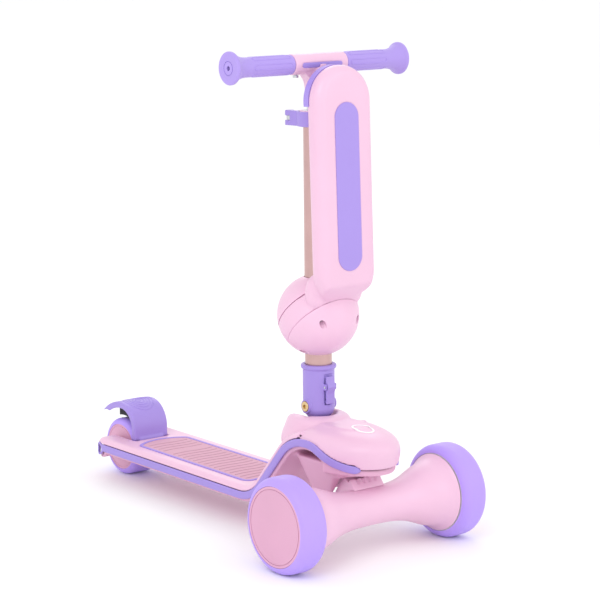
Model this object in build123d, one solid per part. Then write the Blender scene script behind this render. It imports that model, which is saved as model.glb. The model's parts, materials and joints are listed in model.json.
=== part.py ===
from build123d import *
import os
from math import atan2, cos, radians, sin, sqrt

os.makedirs("parts", exist_ok=True)

# A three-wheeled child's scooter with a seat that swings up against its stem.
# Millimetres. +X is forward, +Y is the rider's left, +Z is up, and the wheels
# stand on z = 0. The shapes below are drawn with x = 0 at the front axle, and
# the last step moves them all so that the box of the whole scooter is centred.

# ---- overall -------------------------------------------------------------
wheelbase = 513.0
front_wheel_radius = 60.0
front_wheel_width = 39.4
front_wheel_outer_y = 150.0
rear_wheel_radius = 40.0
rear_wheel_half_width = 23.0

# ---- fits ----------------------------------------------------------------
running_gap = 0.05      # a shaft turning in its bore
seat_gap = 0.1          # pieces that are bonded or pressed together
free_gap = 0.4          # bodies that move past each other
cover_gap = 0.8         # a wheel beside its housing

# ---- axles and bearings --------------------------------------------------
axle_radius = 4.0
bearing_radius = 11.0
bearing_width = 7.0
nut_radius = 7.0
nut_height = 6.0

# ---- deck ----------------------------------------------------------------
deck_half_width = 60.0
deck_top_z = 58.0
trim_z = 45.3           # the middle of the side trim along the deck
trim_width = 10.0
trim_depth = 4.0
trim_proud = 1.0
riser_angle = 49.5
riser_low_radius = 57.0
riser_top_radius = 61.0
peak_x = -55.0
peak_z = 139.0
brow_radius = 38.0
brow_angle = 33.0
nose_line_radius = 118.0
nose_line_angle = 25.0
wall = 3.0
pan_depth = 9.0
edge_round = 9.0
screw_radius = 1.5
screw_head_radius = 3.2
screw_post_radius = 4.4
screw_inset = 10.0

# ---- nose ----------------------------------------------------------------
nose_centre_x = -70.0
nose_length = 104.0
nose_lip = 7.0

# ---- rear fork and its slot ----------------------------------------------
slot_half_width = 29.0
slot_front_x = -466.0
fork_reach = 17.0       # how far the arms run past the axle
fork_round = 24.0
axle_window_radius = 6.4
trim_boss_radius = 9.0
trim_boss_z = 43.0
axle_boss_radius = 10.5

# ---- steel frame inside the body -----------------------------------------
frame_width = 40.0
frame_band = 9.0
frame_rear_x = -452.0
frame_front_x = -78.0
fork_plate = 4.0
fork_plate_y = 33.0

# ---- grip pad ------------------------------------------------------------
pad_half_width = 41.6
pad_rear_x = -455.0
pad_front_x = -196.0
pad_line = 4.0
pad_thickness = 1.6
pad_proud = 0.5
pad_bow = 14.0
pad_corner = 12.0

# ---- fold joint and stem -------------------------------------------------
fold_x = -98.3
fold_z = 173.0
stem_lean = 0.8
post_thickness = 15.0
post_width = 16.0
bolt_radius = 4.0
bolt_head_radius = 6.6
bolt_head_height = 4.0
boss_radius = 8.4
boss_proud = 2.4
collar_wall = 3.2
collar_bottom = -16.0
collar_height = 53.0
lip_proud = 2.5
lip_height = 6.0
channel_clear = 1.6
channel_floor_drop = 27.0
ear_radius = 46.0
ear_top = -10.0
ear_foot_radius = 26.0
ear_foot_z = 100.0

# ---- latch lever ---------------------------------------------------------
latch_width = 12.0
latch_low = 4.0
latch_high = 39.0
latch_pin_z = 26.0
latch_pin_out = 2.4        # from the collar's face to the pin
latch_back_out = 0.7
latch_thickness = 2.4
latch_crest_out = 7.2
latch_flat_depth = 1.9
latch_pin_radius = 1.5
latch_tip_x = 9.0

# ---- tubes ---------------------------------------------------------------
outer_tube_radius = 17.0
outer_tube_wall = 1.8
outer_tube_top = 371.0
inner_tube_radius = 12.5
inner_tube_wall = 1.5
inner_tube_bottom = 215.0
guide_length = 24.0
bush_length = 26.0
bush_flange = 2.0

# ---- clamp ---------------------------------------------------------------
clamp_z = 363.0
clamp_height = 20.0
clamp_wall = 3.6
lug_half_gap = 1.5
lug_width = 9.0
lug_height = 16.0
cam_out = 10.4            # from the clamp's ring to the cam
cam_y = -18.0
cam_radius = 6.0
cam_pin_radius = 2.0
lever_height = 18.6
lever_gap = 1.6
lever_thickness = 3.4
lever_end_angle = -62.0
clamp_bolt_radius = 2.5

# ---- handlebar -----------------------------------------------------------
bar_z = 431.0
bar_half_length = 136.3
bar_tube_radius = 10.0
sleeve_radius = 12.9
sleeve_half_length = 41.5
neck_radius = 14.7
neck_bottom_z = 393.0
neck_web = 20.0
grip_radius = 12.2
flare_radius = 20.3
flare_length = 15.0
grip_hole_radius = 3.0
inlay_length = 63.0
inlay_width = 6.4
inlay_depth = 1.4

# ---- ball and seat -------------------------------------------------------
ball_z = 115.5
ball_radius = 52.0
ball_wall = 3.4
band_low = -15.0
band_high = 10.0
hub_radius = 42.6
band_bore = 43.0
ball_screw_pitch = 39.0
ball_screw_head = 3.4
seat_length = 298.0
seat_half_width = 44.0
seat_thickness = 28.0
seat_to_tube = 16.0
seat_mid_z = 282.0
seat_lean = 2.0
seat_edge_round = 12.0
panel_length = 208.0
panel_half_width = 18.8
panel_depth = 1.6
cushion_length = 268.0
cushion_half_width = 38.0
cushion_recess = 2.0
cushion_proud = 4.0
crescent_depth = 9.0
crescent_width = 3.4
crescent_drop = 8.0
crescent_fall = 5.0

# ---- steering truck ------------------------------------------------------
steer_tilt = 55.0       # the pivot's slope above the ground, up and forward
steer_x = -30.0
steer_z = 88.0
kingpin_radius = 5.0
kingpin_head_radius = 9.0
barrel_radius = 12.0
barrel_low = -20.0
barrel_high = 14.0
pocket_half_width = 26.0
brow_swing = 5.5         # how far the brow's corners come back at full lean
neck_wall = 3.5
block_half_width = 24.0
waist_radius = 23.3
flare_rim_radius = 49.0
housing_wall = 3.5

# ---- rear brake ----------------------------------------------------------
fender_half_width = 28.0
fender_wall = 3.0
fender_skin = 4.0
fender_front_x = -469.0
fender_low_z = 56.0
fender_spring_z = 70.0
fender_front_radius = 36.0
fender_back_radius = 60.0
fender_back_angle = 40.0
fender_tip = 8.0
fender_skirt = 9.0
brake_pin_x = -461.0
brake_pin_z = 49.0
brake_pin_radius = 2.5
brake_barrel_radius = 4.8

tube_bottom = post_thickness / 2 + 3.5
collar_radius = outer_tube_radius + collar_wall
lip_radius = collar_radius + lip_proud
boss_reach = collar_radius + boss_proud
latch_pin_x = collar_radius + latch_pin_out
latch_back_x = collar_radius + latch_back_out
latch_crest = collar_radius + latch_crest_out
latch_flat_x = collar_radius - latch_flat_depth
clamp_radius = outer_tube_radius + clamp_wall
cam_x = -clamp_radius - cam_out
lever_inner_radius = clamp_radius + lever_gap
seat_mid_x = outer_tube_radius + seat_to_tube + seat_thickness / 2
rear_axle_z = rear_wheel_radius
band_tilt = (90.0 + stem_lean + seat_lean) / 2 - stem_lean
stem_place = Pos(fold_x, 0, fold_z) * Rot(0, -stem_lean, 0)
ball_place = Pos(0, 0, ball_z) * Rot(0, -band_tilt, 0)
steer_place = Pos(steer_x, 0, steer_z) * Rot(0, 90 - steer_tilt, 0)
front_wheel_inner_y = front_wheel_outer_y - front_wheel_width
outer_bearing_y = front_wheel_outer_y - 18.5
inner_bearing_y = front_wheel_inner_y + 3


# ---- helpers -------------------------------------------------------------
def block(x0, x1, y0, y1, z0, z1):
    """A box from its two corners."""
    return Pos((x0 + x1) / 2, (y0 + y1) / 2, (z0 + z1) / 2) * Box(x1 - x0, y1 - y0, z1 - z0)


def rod_y(x, z, radius, y0, y1):
    """A round bar along Y."""
    return Pos(x, (y0 + y1) / 2, z) * Rot(90, 0, 0) * Cylinder(radius, y1 - y0)


def rod_z(x, y, radius, z0, z1):
    """A round bar along Z."""
    return Pos(x, y, (z0 + z1) / 2) * Cylinder(radius, z1 - z0)


def side_prism(face, half_width):
    """A face drawn in x and z, made as thick as twice half_width across Y."""
    return extrude(Plane.XZ * face, half_width, both=True)


def closed_face(points):
    return make_face(Polyline(*points, close=True))


def hex_bar_y(x, z, radius, y0, y1):
    """A hexagon bar along Y, such as a nut or the key's socket."""
    return Pos(x, y0, z) * Rot(-90, 0, 0) * extrude(RegularPolygon(radius, 6), y1 - y0)


def coil_y(x, z, radius, wire, y0, turns):
    """A tightly wound coil round an axis along Y."""
    rings = [Pos(x, y0 + i * wire * 1.8, z) * Rot(90, 0, 0) * Torus(radius, wire) for i in range(turns)]
    return Part() + rings


# ---- the line of the side trim -------------------------------------------
def trim_line():
    """The middle of the trim in x and z: along the deck, up the riser, over the brow to the nose."""
    turn = radians(riser_angle)
    drop = (riser_low_radius + riser_top_radius) * (1 - cos(turn))
    slope = (peak_z - trim_z - drop) / sin(turn)
    top = JernArc((peak_x, peak_z), (-1, 0), riser_top_radius, riser_angle)
    climb = Line(top @ 1, top @ 1 + (top % 1) * slope)
    foot = JernArc(climb @ 1, climb % 1, riser_low_radius, -riser_angle)
    flat = Line(foot @ 1, (-wheelbase, trim_z))
    brow = JernArc((peak_x, peak_z), (1, 0), brow_radius, -brow_angle)
    nose = JernArc(brow @ 1, brow % 1, nose_line_radius, nose_line_angle)
    return [flat, foot, climb, top, brow, nose]


def trim_wire():
    return Wire([edge for curve in trim_line() for edge in curve.edges()])


def band_face(width):
    """The band of this width along the trim line, with round ends."""
    return make_face(trim_wire().offset_2d(width / 2, side=Side.BOTH).edges())


def above_line(lift=0.0):
    """Everything above the trim line in x and z, lifted by this much."""
    line = trim_wire()
    first = Vector(-wheelbase, trim_z, 0)
    last = (trim_line()[-1]) @ 1
    far = 80.0
    rim = Polyline(
        last, (last.X + far, last.Y), (last.X + far, 400), (first.X - far, 400), (first.X - far, first.Y), first
    )
    return Pos(0, lift) * make_face(line.edges() + rim.edges())


# ---- outer form of the body ----------------------------------------------
def plan_face(inset=0.0):
    """The body seen from above: straight sides, a long half-round nose and a rounded tail."""
    half = deck_half_width - inset
    tail = -wheelbase - fork_reach + inset
    nose = EllipticalCenterArc((nose_centre_x, 0), nose_length - inset, half, -90, arc_size=180)
    back = Polyline((nose_centre_x, half), (tail, half), (tail, -half), (nose_centre_x, -half))
    face = make_face(nose.edges() + back.edges())
    corners = face.vertices().group_by(Axis.X)[0]
    return fillet(corners, fork_round - inset)


def plan_prism(inset=0.0):
    return Pos(0, 0, -20) * extrude(plan_face(inset), 300)


def shoulder_face(inset=0.0):
    """The deck, the riser and the shoulder above the trim line, in x and z."""
    rise = deck_top_z - trim_z - inset
    wire = trim_wire()
    return make_face(wire.offset_2d(rise, side=Side.BOTH).edges())


def shoulder(inset=0.0):
    """The deck and riser with their upper side edges rounded over."""
    rise = deck_top_z - trim_z - inset
    solid = side_prism(shoulder_face(inset), deck_half_width + 5) & block(-700, nose_centre_x, -80, 80, 0, 300)
    solid = solid & plan_prism(inset) & side_prism(above_line(), deck_half_width + 5)
    crown = side_prism(band_face(2 * rise - 1), deck_half_width + 20)
    side = [e for e in solid.edges() if abs((e @ 0.5).Y) > 40 and (e @ 0.5).X < nose_centre_x - 0.5]
    return fillet([e for e in side if not crown.is_inside(e @ 0.5)], edge_round - inset)


hood_rings = [
    # height, centre x, reach forward, reach rearward, half width
    (98.0, -70.0, 99.0, 40.0, 56.0),
    (111.0, -70.0, 103.0, 42.0, 59.6),
    (125.5, -68.0, 106.0, 38.0, 60.0),
    (139.0, -64.0, 102.5, 33.0, 57.0),
    (150.0, -60.0, 86.0, 28.0, 46.0),
    (158.0, -58.0, 50.0, 20.0, 25.0),
]


def hood(inset=0.0):
    """The rounded nose cover, stacked from flat rings."""
    rings = []
    for z, x, front, rear, half in hood_rings:
        ahead = EllipticalCenterArc((x, 0), front - inset, half - inset, -90, arc_size=180)
        behind = EllipticalCenterArc((x, 0), rear - inset, half - inset, 90, arc_size=180)
        rings.append(Pos(0, 0, z - inset) * make_face(ahead.edges() + behind.edges()))
    return loft(rings)


def ears(inset=0.0):
    """The bulge round the foot of the stem, which stands up as two ears beside the collar."""
    r = ear_radius - inset
    top = fold_z + ear_top - inset
    rim = collar_radius + 6 - inset
    waist = (r + 1.5, peak_z - 4)
    foot = (ear_foot_radius - inset, ear_foot_z + inset)
    profile = make_face(
        Polyline((rim, top), (0, top), (0, foot[1]), foot).edges()
        + Spline(foot, waist, (r - 4, top - 13), (rim, top), tangents=((1, 0.6), (-1, 0.15))).edges()
    )
    return Pos(fold_x, 0, 0) * revolve(Plane.XZ * profile, Axis.Z)


def upper_form(inset=0.0):
    """The outside of the upper half of the body, or the same form inset by a wall."""
    return shoulder(inset) + ((hood(inset) + ears(inset)) & side_prism(above_line(), deck_half_width + 5))


def wheel_slot():
    """The open slot between the arms of the rear fork."""
    tail = -wheelbase - fork_reach - 5
    return block(tail, slot_front_x, -slot_half_width, slot_half_width, 0, 120)


def fold_channel(grow=0.0):
    """The space in which the collar tips back: round in front, open to the rear."""
    half = lip_radius + channel_clear + grow
    floor = fold_z - channel_floor_drop - grow
    front = collar_radius + channel_clear + grow
    room = rod_z(fold_x, 0, front, floor, 300) + block(fold_x - 120, fold_x, -half, half, floor, 300)
    return room + block(fold_x, fold_x + boss_radius + channel_clear + grow, -half, half, floor, 300)


def pad_outline(inset):
    """The grip pad seen from above: a bowed rear edge and rounded corners."""
    half = pad_half_width - inset
    rear = pad_rear_x + inset
    front = pad_front_x - inset
    bow = ThreePointArc((rear + pad_bow, half), (rear, 0), (rear + pad_bow, -half))
    rest = Polyline((rear + pad_bow, -half), (front, -half), (front, half), (rear + pad_bow, half))
    face = make_face(bow.edges() + rest.edges())
    return fillet(face.vertices(), pad_corner - inset)


def arm_screws():
    """Where the screws come up through the pan, in x and y."""
    side = deck_half_width - screw_inset
    return [(x, y) for x in (-430, -320, -215) for y in (-side, side)]


def brake_notch():
    """Room in the shells for the fender's barrel and the pin it turns on."""
    low = brake_pin_z - brake_barrel_radius - cover_gap
    high = brake_pin_z + brake_barrel_radius + cover_gap
    width = fender_half_width - 7.4
    room = block(slot_front_x - 2, brake_pin_x, -width, width, low, high)
    room = room + rod_y(brake_pin_x, brake_pin_z, brake_barrel_radius + cover_gap, -width, width)
    return room + rod_y(brake_pin_x, brake_pin_z, brake_pin_radius + running_gap, -26.1, 26.1)


def axle_wells():
    """Room for the rear axle, its spacers and its head and nut."""
    near = rod_y(-wheelbase, rear_axle_z, axle_radius + 3.2, -fork_plate_y - 1, fork_plate_y + 1)
    far = rod_y(-wheelbase, rear_axle_z, nut_radius + 0.4, -deck_half_width, deck_half_width)
    return near + (far - block(-700, 0, -fork_plate_y, fork_plate_y, 0, 100))


def frame_space():
    """The steel frame and a hair more, for the shells that close round it."""
    spine = side_prism(band_face(frame_band + 2 * seat_gap), frame_width / 2 + seat_gap)
    spine = spine & block(frame_rear_x - seat_gap, frame_front_x + seat_gap, -60, 60, 0, 300)
    return spine + fork_plates(seat_gap)


def deck_top_shell():
    solid = upper_form()
    shell = solid - upper_form(wall)
    lining = fold_channel(wall) & solid
    rails = block(-wheelbase - fork_reach, slot_front_x + 4 * wall, -slot_half_width - wall,
                  slot_half_width + wall, trim_z, 200) & solid
    posts = [rod_z(x, y, screw_post_radius, trim_z, deck_top_z - 1) for x, y in arm_screws()]
    pilots = [rod_z(x, y, screw_radius + seat_gap, 0, trim_z + 6) for x, y in arm_screws()]
    shell = shell + lining + rails + posts - pilots - fold_channel() - wheel_slot()
    shell = shell - brake_notch() - frame_space() - axle_wells()
    shell = shell - Pos(0, 0, deck_top_z - pad_thickness) * extrude(pad_outline(0), 20)
    post = block(fold_x - post_thickness / 2 - 1, fold_x + post_thickness / 2 + 1,
                 -post_width / 2 - 1, post_width / 2 + 1, 100, 200)
    return shell - post - trims_band(seat_gap)


def trims_band(grow):
    """The groove that takes the two trims, a little larger than they are."""
    band = side_prism(band_face(trim_width + 2 * grow), deck_half_width + 10)
    boss = rod_y(-wheelbase, trim_boss_z, trim_boss_radius + grow, -80, 80)
    return (band + boss) & (plan_prism(-20) - plan_prism(trim_depth - trim_proud + grow))


def deck_trim(side):
    """One purple side trim, from the rear axle to the nose."""
    band = side_prism(band_face(trim_width), deck_half_width + 10)
    boss = rod_y(-wheelbase, trim_boss_z, trim_boss_radius, -80, 80)
    ring = plan_prism(-trim_proud) - plan_prism(trim_depth - trim_proud)
    half = block(-700, 100, 0, side * 100, 0, 300) if side > 0 else block(-700, 100, -100, 0, 0, 300)
    trim = (band + boss) & ring & half
    return trim - rod_y(-wheelbase, trim_boss_z, axle_window_radius, -80, 80)


def grip_pad():
    """The rubber tread, with raised ridges across it."""
    base = Pos(0, 0, deck_top_z - pad_thickness + seat_gap) * extrude(pad_outline(pad_line), pad_thickness)
    return base


def grip_pad_rim():
    low = deck_top_z - pad_thickness + seat_gap
    ring = extrude(pad_outline(seat_gap), pad_thickness + pad_proud)
    return Pos(0, 0, low) * (ring - extrude(pad_outline(pad_line - seat_gap), 20))


# ---- under side of the body ----------------------------------------------
def pan_face(depth):
    """From the trim line down to this depth below it."""
    return make_face(trim_wire().offset_2d(depth, side=Side.BOTH).edges())


def neck_form(inset=0.0):
    """The throat that carries the steering pivot, narrow below and wide under the nose."""
    low = Pos(steer_x - 26, 0, steer_z - 17) * Rectangle(46 - 2 * inset, 2 * (pocket_half_width + neck_wall - inset))
    high = Pos(-46, 0, peak_z - 21) * Rectangle(118 - 2 * inset, 96 - 2 * inset)
    return loft([fillet(low.vertices(), 8), fillet(high.vertices(), 30)])


def steer_pocket():
    """The open mouth in the throat where the truck's barrel turns, higher in front for its brow."""
    roof = barrel_high + 1.5
    mouth = block(-barrel_radius - 5, 90, -pocket_half_width, pocket_half_width, -60, roof)
    front = block(2, 120, -80, 80, -80, roof)
    side = pocket_half_width + 9
    brow = block(barrel_radius - brow_swing, 90, -side, side, roof - 1, roof + 8)
    brow = brow - rod_z(0, 0, barrel_radius, roof - 2, roof + 20)
    nut = rod_z(0, 0, 9.5, barrel_high + 20.05, 80)
    return steer_place * (mouth + front + brow + nut)


def deck_bottom_shell():
    half = deck_half_width - wall
    pan = side_prism(pan_face(pan_depth), half) & plan_prism(wall)
    inner = side_prism(pan_face(pan_depth - wall), half - wall) & plan_prism(2 * wall)
    under = side_prism(above_line(), deck_half_width + 20)
    shell = (pan - inner) - under
    lip = Pos(0, 0, peak_z - 26 - nose_lip) * extrude(plan_face(wall + 0.5), nose_lip + 4)
    lip = lip & block(-30, 60, -60, 60, 90, 200) - under
    boss = steer_place * rod_z(0, 0, barrel_radius, barrel_high + 1.5, barrel_high + 20)
    pin = steer_place * rod_z(0, 0, kingpin_radius + seat_gap, -60, 60)
    ends = rod_y(-wheelbase, rear_axle_z, axle_boss_radius, -half + 1, half - 1) & plan_prism(wall)
    posts = [rod_z(x, y, screw_post_radius, trim_z - pan_depth + 1, trim_z - seat_gap) for x, y in arm_screws()]
    floor = trim_z - pan_depth
    holes = [
        rod_z(x, y, screw_radius + seat_gap, floor - 1, trim_z + 5)
        + rod_z(x, y, screw_head_radius + 0.2, 0, floor + 3)
        for x, y in arm_screws()
    ]
    shell = shell + (neck_form() - under) + lip + boss + (ends - under) + posts - holes - steer_pocket() - pin
    return shell - wheel_slot() - trims_band(seat_gap) - frame_space() - axle_wells()

# ---- steel frame inside the body -----------------------------------------

def fork_plates(grow=0.0):
    """Two plates that carry the rear axle, joined by a bar across the spine."""
    tail = -wheelbase - 7 - grow
    front = frame_rear_x + 6 + grow
    low = fork_plate_y - grow
    high = fork_plate_y + fork_plate + grow
    sole = min(trim_z - 4, rear_axle_z) - grow
    plates = [
        block(tail, front, a, b, sole, trim_z + 8 + grow)
        + rod_y(-wheelbase, rear_axle_z, 7 + grow, a, b)
        for a, b in ((low, high), (-high, -low))
    ]
    bar = block(frame_rear_x - 4 - grow, front, -high, high, trim_z - 4.5 - grow, trim_z + 4.5 + grow)
    return Part() + plates + bar


def deck_frame():
    spine = side_prism(band_face(frame_band), frame_width / 2)
    spine = spine & block(frame_rear_x, frame_front_x, -60, 60, 0, 300)
    return spine + fork_plates() - rod_y(-wheelbase, rear_axle_z, axle_radius + seat_gap, -60, 60)


def fold_post():
    """The steel tongue that stands inside the collar."""
    half = post_thickness / 2
    stem = block(fold_x - half, fold_x + half, -post_width / 2, post_width / 2, 110, fold_z)
    head = rod_y(fold_x, fold_z, half, -post_width / 2, post_width / 2)
    spine = side_prism(band_face(frame_band), frame_width / 2)
    below = side_prism(above_line(), 40)
    post = ((stem & below) + head) - spine
    return post - rod_y(fold_x, fold_z, bolt_radius + running_gap, -30, 30)


def rear_axle_bolt():
    end = fork_plate_y + fork_plate
    shaft = rod_y(-wheelbase, rear_axle_z, axle_radius, -end - 3, end + 3)
    head = hex_bar_y(-wheelbase, rear_axle_z, nut_radius, -end - 4, -end - 0.05)
    return shaft + head


def rear_axle_nut():
    end = fork_plate_y + fork_plate
    nut = hex_bar_y(-wheelbase, rear_axle_z, nut_radius, end + 0.05, end + 4)
    return nut - rod_y(-wheelbase, rear_axle_z, axle_radius + running_gap, 0, 60)


def rear_axle_spacers():
    inner = rear_wheel_half_width - 3
    return Part() + [
        rod_y(-wheelbase, rear_axle_z, axle_radius + 2.5, min(a, b), max(a, b))
        - rod_y(-wheelbase, rear_axle_z, axle_radius + running_gap, -60, 60)
        for a, b in ((inner + 0.2, fork_plate_y - 0.05), (-inner - 0.2, -fork_plate_y + 0.05))
    ]


def kingpin():
    pin = rod_z(0, 0, kingpin_radius, barrel_low - 4, barrel_high + 26)
    head = rod_z(0, 0, kingpin_head_radius, barrel_low - 8, barrel_low - 2)
    socket = Pos(0, 0, barrel_low - 8) * extrude(RegularPolygon(3.2, 6), 3)
    return steer_place * (pin + head - socket)


def kingpin_nut():
    nut = Pos(0, 0, barrel_high + 20.1) * extrude(RegularPolygon(8, 6), 5)
    return steer_place * (nut - rod_z(0, 0, kingpin_radius + running_gap, 0, 60))


def steer_washer():
    """The nylon ring on which the truck turns."""
    low = barrel_high + 0.1
    ring = rod_z(0, 0, kingpin_radius + 4, low, low + 1.3) - rod_z(0, 0, kingpin_radius + running_gap, 0, 60)
    return steer_place * ring


def shell_screws():
    """Screws that hold the pan to the upper shell."""
    low = trim_z - pan_depth + 0.9
    return Part() + [
        rod_z(x, y, screw_head_radius, low, low + 2) + rod_z(x, y, screw_radius, low, low + 12)
        for x, y in arm_screws()
    ]


def nose_badge():
    """A plain oval ring laid on the nose cover."""
    oval = Pos(-12, 0, 0) * extrude(Ellipse(17, 12) - Ellipse(14.6, 9.6), 300)
    return (upper_form(-0.6) - upper_form(-0.05)) & oval & block(-60, 30, -30, 30, 125, 200)


# ---- truck and front wheels ----------------------------------------------
flare_y = front_wheel_inner_y - cover_gap
housing_curve = [(0, waist_radius), (0.32, waist_radius + 1.1), (0.565, waist_radius + 6.3),
                 (0.8, waist_radius + 15.7), (1, flare_rim_radius)]


def housing_profile():
    """Half of the housing's section: y along the axle, radius out from it."""
    points = [(r, y * flare_y) for y, r in housing_curve]
    outer = Spline(*points, tangents=((0, 1), (1, 0.9)))
    inner = Polyline(
        points[-1], (flare_rim_radius - housing_wall, flare_y), (waist_radius + 4, flare_y * 0.66),
        (waist_radius - housing_wall - 1, flare_y * 0.2), (axle_radius + 5, flare_y * 0.2),
        (axle_radius + 5, flare_y - 4), (axle_radius + seat_gap, flare_y - 4),
        (axle_radius + seat_gap, 0), points[0]
    )
    return make_face(outer.edges() + inner.edges())


def at_front_axle(shape):
    return Pos(0, 0, front_wheel_radius) * shape


def axle_housing():
    half = revolve(housing_profile(), Axis.Y)
    return at_front_axle(half + mirror(half, Plane.XZ))


def steering_block():
    """The block behind the housing, with the barrel that turns on the kingpin and a vented brow."""
    side = closed_face([(-37, 67), (-36.5, 76), (-20.5, 99.5), (-8, 97), (1, 85), (1, 60), (-20, 60)])
    body = side_prism(side, block_half_width)
    barrel = steer_place * rod_z(0, 0, barrel_radius, barrel_low, barrel_high)
    keep = block(-barrel_radius, 200, -50, 50, -80, barrel_high) + block(barrel_radius + 1, 200, -50, 50, 0, 60)
    body = (body & (steer_place * keep)) - at_front_axle(axle_cut())
    for i in range(4):
        body = body - Pos(-5, -13.5 + 9 * i, 95) * Rot(0, 45, 0) * Box(9, 4.4, 5)
    return body + barrel - steer_place * rod_z(0, 0, kingpin_radius + running_gap, -60, 60)


def axle_cut():
    """The housing filled solid, for shaping what sits on it."""
    points = [(r + 0.05, y * flare_y) for y, r in housing_curve]
    outer = Spline(*points, tangents=((0, 1), (1, 0.9)))
    rest = Polyline(points[-1], (0, flare_y), (0, 0), points[0])
    half = revolve(make_face(outer.edges() + rest.edges()), Axis.Y)
    return half + mirror(half, Plane.XZ)


def front_axle():
    end = outer_bearing_y + bearing_width + nut_height + 0.5
    return at_front_axle(rod_y(0, 0, axle_radius, -end, end))


def on_both_sides(shape):
    return Part() + [shape, mirror(shape, Plane.XZ)]


def wheel_spacers():
    low = flare_y - 4 + 0.05
    high = inner_bearing_y - 0.05
    ring = rod_y(0, 0, axle_radius + 2.5, low, high) - rod_y(0, 0, axle_radius + running_gap, 0, 200)
    return at_front_axle(on_both_sides(ring))


def wheel_nuts():
    low = outer_bearing_y + bearing_width + seat_gap
    nut = hex_bar_y(0, 0, nut_radius, low, low + nut_height) - rod_y(0, 0, axle_radius + running_gap, 0, 200)
    return at_front_axle(on_both_sides(nut))


def bearing(y0):
    race = rod_y(0, 0, bearing_radius - seat_gap, y0, y0 + bearing_width)
    return race - rod_y(0, 0, axle_radius + running_gap, y0 - 1, y0 + bearing_width + 1)


cap_radius = 49.9
cap_thickness = 3.0
cap_recess = 0.6
front_tyre_bore = 50.3
tyre_round = 12.0
rear_tyre_round = 8.5


def rolled_tyre(radius, bore, y0, y1, rounding):
    tyre = rod_y(0, 0, radius, y0, y1)
    tyre = fillet(tyre.edges().filter_by(GeomType.CIRCLE), rounding)
    return tyre - rod_y(0, 0, bore, y0 - 1, y1 + 1)


def on_side(shape, side):
    placed = shape if side > 0 else mirror(shape, Plane.XZ)
    return at_front_axle(placed)


def front_tyre(side):
    return on_side(rolled_tyre(front_wheel_radius, front_tyre_bore, front_wheel_inner_y,
                               front_wheel_outer_y, tyre_round), side)


def front_hub(side):
    low = front_wheel_inner_y + 1
    high = front_wheel_outer_y - cap_thickness - cap_recess - seat_gap
    rim = rod_y(0, 0, front_tyre_bore - seat_gap, low, high) - rod_y(0, 0, front_tyre_bore - 4, low - 1, high + 1)
    web = rod_y(0, 0, front_tyre_bore - 3, (low + high) / 2 - 2, (low + high) / 2 + 2)
    boss = rod_y(0, 0, bearing_radius + 4, inner_bearing_y, outer_bearing_y + bearing_width)
    bores = rod_y(0, 0, bearing_radius, inner_bearing_y - 5, inner_bearing_y + bearing_width)
    bores = bores + rod_y(0, 0, bearing_radius, outer_bearing_y, high + 1)
    return on_side(rim + web + boss - bores - rod_y(0, 0, axle_radius + 3, low - 5, high + 5), side)


def front_cap(side):
    high = front_wheel_outer_y - cap_recess
    disc = rod_y(0, 0, cap_radius, high - cap_thickness, high)
    groove = rod_y(0, 0, cap_radius - 3, high - 0.8, high + 1) - rod_y(0, 0, cap_radius - 4, high - 1, high + 2)
    return on_side(disc - groove, side)


def front_bearings(side):
    return on_side(Part() + [bearing(inner_bearing_y), bearing(outer_bearing_y)], side)


# ---- rear wheel ----------------------------------------------------------
rear_hub_radius = 32.0
disc_thickness = 2.5


def at_rear_axle(shape):
    return Pos(-wheelbase, 0, rear_axle_z) * shape


def rear_tyre():
    w = rear_wheel_half_width
    return at_rear_axle(rolled_tyre(rear_wheel_radius, rear_hub_radius + seat_gap, -w, w, rear_tyre_round))


def rear_hub():
    w = rear_wheel_half_width - 4
    rim = rod_y(0, 0, rear_hub_radius, -w, w) - rod_y(0, 0, rear_hub_radius - 3, -w - 1, w + 1)
    web = rod_y(0, 0, rear_hub_radius - 2, -2, 2)
    boss = rod_y(0, 0, bearing_radius + 3, -w + 1, w - 1)
    deep = bearing_width + 1
    bores = rod_y(0, 0, bearing_radius, -w, deep - w) + rod_y(0, 0, bearing_radius, w - deep, w)
    return at_rear_axle(rim + web + boss - bores - rod_y(0, 0, axle_radius + 3, -40, 40))


def rear_discs():
    w = rear_wheel_half_width - 0.6
    disc = rod_y(0, 0, rear_hub_radius - seat_gap, w - disc_thickness, w) - rod_y(0, 0, axle_radius + 4, 0, 60)
    groove = rod_y(0, 0, rear_hub_radius - 2.5, w - 0.6, w + 1) - rod_y(0, 0, rear_hub_radius - 3.4, w - 1, w + 2)
    return at_rear_axle(on_both_sides(disc - groove))


def rear_bearings():
    w = rear_wheel_half_width - 4
    return at_rear_axle(Part() + [bearing(-w + 1), bearing(w - 1 - bearing_width)])


# ---- rear brake ----------------------------------------------------------
def fender_top():
    """The fender's upper line in x and z: up from the deck, over the wheel and down behind it."""
    rise = Line((fender_front_x, fender_low_z), (fender_front_x, fender_spring_z))
    front = JernArc(rise @ 1, (0, 1), fender_front_radius, 90)
    back = JernArc(front @ 1, (-1, 0), fender_back_radius, fender_back_angle)
    tip = Line(back @ 1, back @ 1 + (back % 1) * fender_tip)
    return [rise, front, back, tip]


def fender_outline():
    over = fender_top()
    tip = over[-1] @ 1
    foot = (-wheelbase + 10, fender_low_z)
    behind = (-wheelbase - 24, fender_spring_z + 19)
    over_wheel = (-wheelbase - 7, fender_spring_z + 8)
    under = Spline((tip.X, tip.Y), behind, over_wheel, foot)
    edges = [edge for curve in over for edge in curve.edges()]
    return make_face(edges + under.edges() + Line(foot, (fender_front_x, fender_low_z)).edges())


def fender_band(depth):
    """All that lies within a depth of the fender's upper line, on both sides."""
    wire = Wire([edge for curve in fender_top() for edge in curve.edges()])
    return make_face(wire.offset_2d(depth, side=Side.BOTH).edges())


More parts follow.
